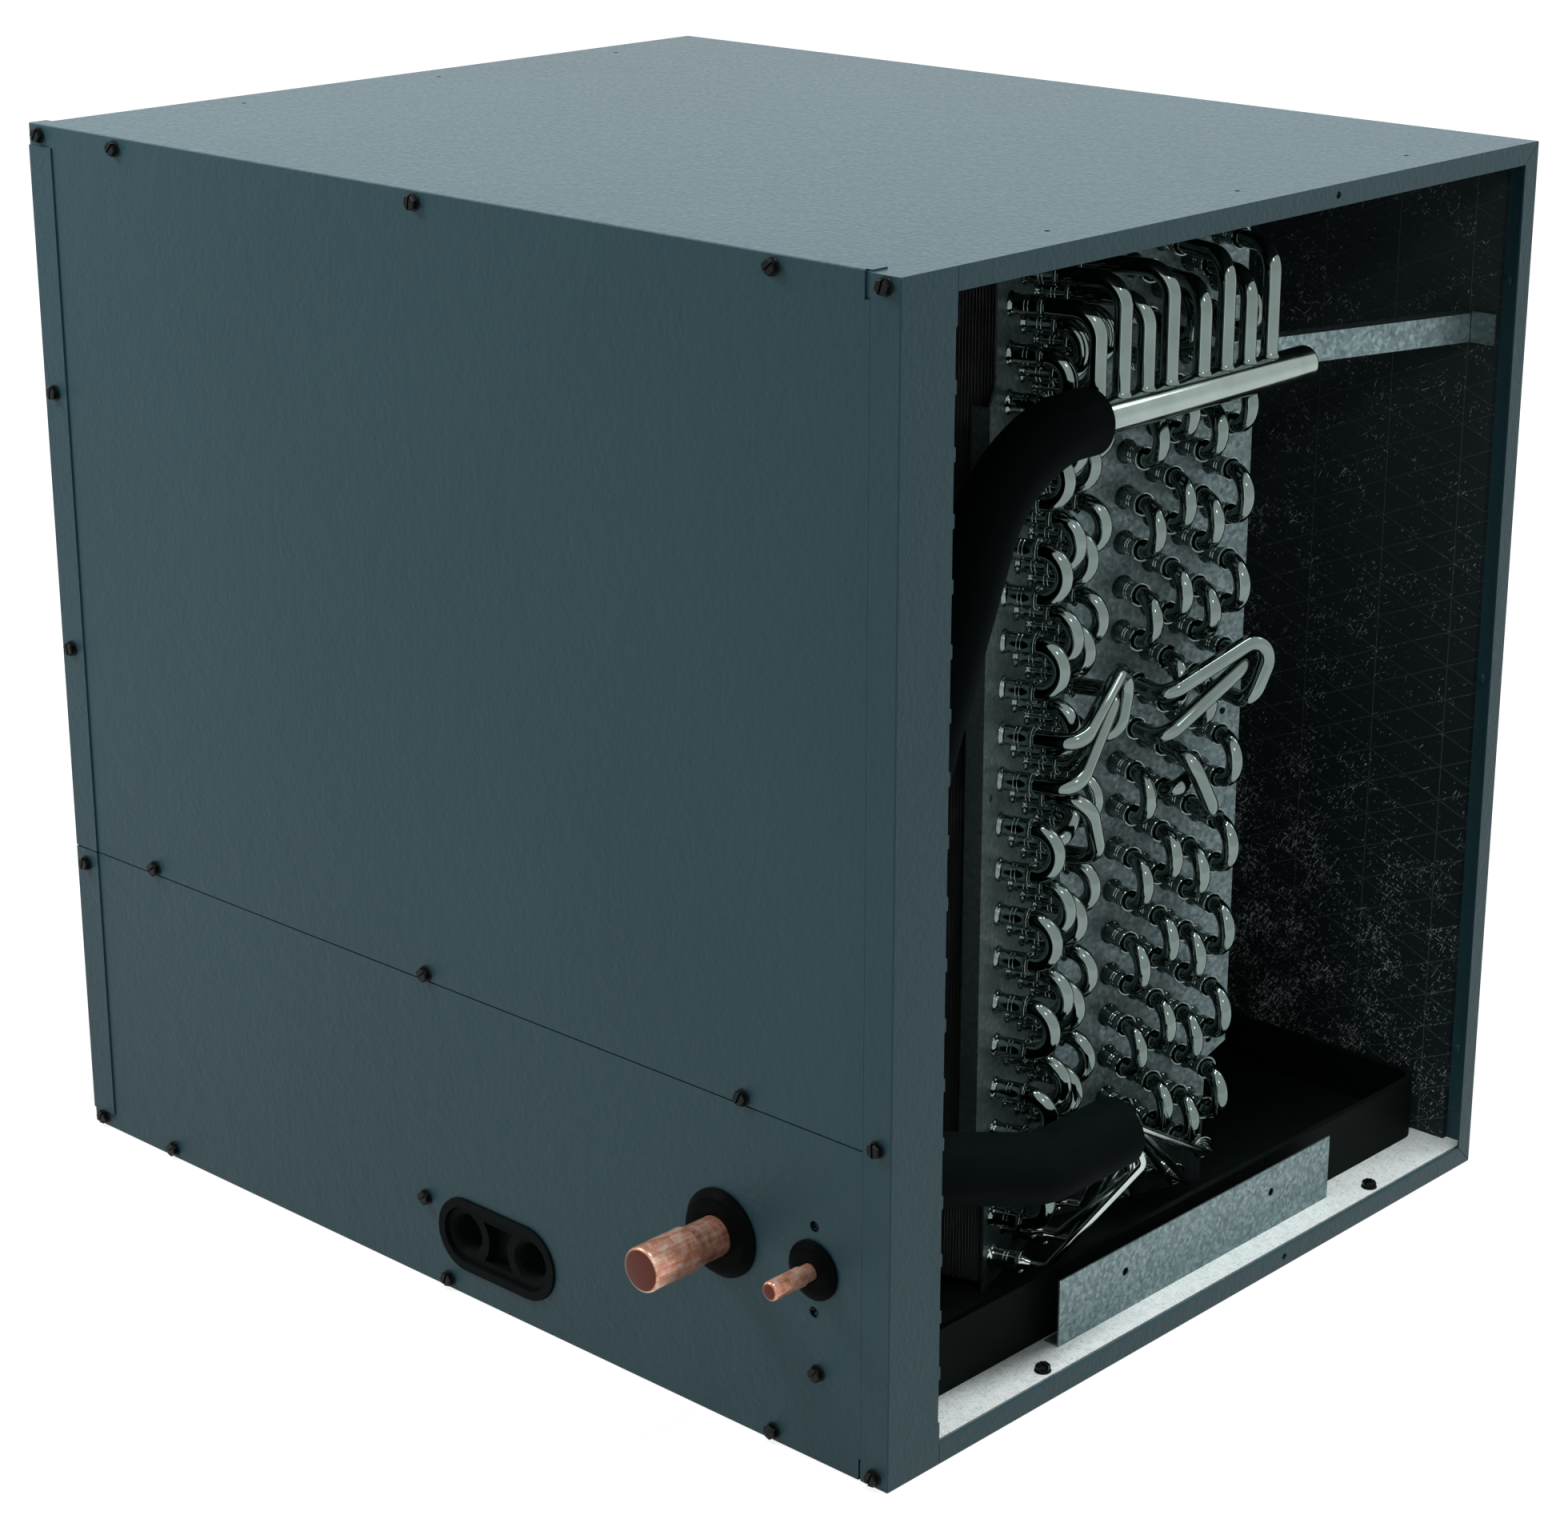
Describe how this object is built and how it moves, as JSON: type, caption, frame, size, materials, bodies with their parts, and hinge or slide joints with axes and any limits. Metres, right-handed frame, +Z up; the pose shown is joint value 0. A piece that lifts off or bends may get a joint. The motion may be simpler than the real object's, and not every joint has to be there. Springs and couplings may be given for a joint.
{
  "type": "cased evaporator coil",
  "caption": "Horizontal cased evaporator coil: painted duct box with two slanted finned slabs, looped tube ends, drain pan, foam-covered lines and copper stubs.",
  "frame": {"origin": "centre of the casing's underside, on the surface that it stands on", "axes": "+X along the air flow, out of the end that shows the tube bends; -Y out of the service side with the access panels, stubs and drain ports; +Z up"},
  "size_m": [0.6604, 0.5963, 0.6223],
  "materials": {
    "casing_paint": "textured powder coat, satin",
    "galvanised_sheet": "spangled zinc, semi-gloss",
    "black_foil_liner": "black foil over scrim, glossy",
    "silver_foil_liner": "scratched foil over scrim",
    "pan_plastic": "moulded, satin",
    "fins": "fine fins, dull",
    "coil_tube": "bright drawn tube",
    "header_tube": "dark drawn tube",
    "copper": "brushed copper",
    "brass_body": "machined",
    "foam": "closed-cell foam, matte",
    "grommet_rubber": "smooth rubber",
    "screw_black": "black finish"
  },
  "bodies": {
    "root": {"casing_wrapper": "casing_paint", "outlet_corner_post": "casing_paint", "inlet_corner_post": "casing_paint", "upper_access_panel": "casing_paint", "lower_access_panel": "casing_paint", "back_liner": "black_foil_liner", "ceiling_liner": "black_foil_liner", "panel_liner": "black_foil_liner", "lower_panel_liner": "black_foil_liner", "floor_liner": "silver_foil_liner", "drain_pan": "pan_plastic", "drain_boss": "pan_plastic", "pan_bracket": "galvanised_sheet", "suction_header": "header_tube", "feeder_tubes": "coil_tube", "suction_line": "copper", "suction_sleeve": "foam", "suction_cap": "copper", "suction_grommet": "grommet_rubber", "liquid_line": "copper", "liquid_cap": "copper", "liquid_grommet": "grommet_rubber", "metering_body": "brass_body", "liquid_sleeve": "foam", "capillaries": "coil_tube", "brace": "galvanised_sheet", "panel_screws": "screw_black", "floor_screws": "screw_black", "back_rivets": "casing_paint", "front_fin_pack": "fins", "front_apex_sheet": "galvanised_sheet", "front_open_end_sheet": "galvanised_sheet", "front_return_bends": "coil_tube", "front_hairpins": "coil_tube", "front_crossovers": "coil_tube", "front_air_baffle": "galvanised_sheet", "front_top_seal": "foam", "back_fin_pack": "fins", "back_apex_sheet": "galvanised_sheet", "back_open_end_sheet": "galvanised_sheet", "back_return_bends": "coil_tube", "back_hairpins": "coil_tube", "back_crossovers": "coil_tube", "back_air_baffle": "galvanised_sheet", "back_top_seal": "foam"}
  },
  "joints": []
}
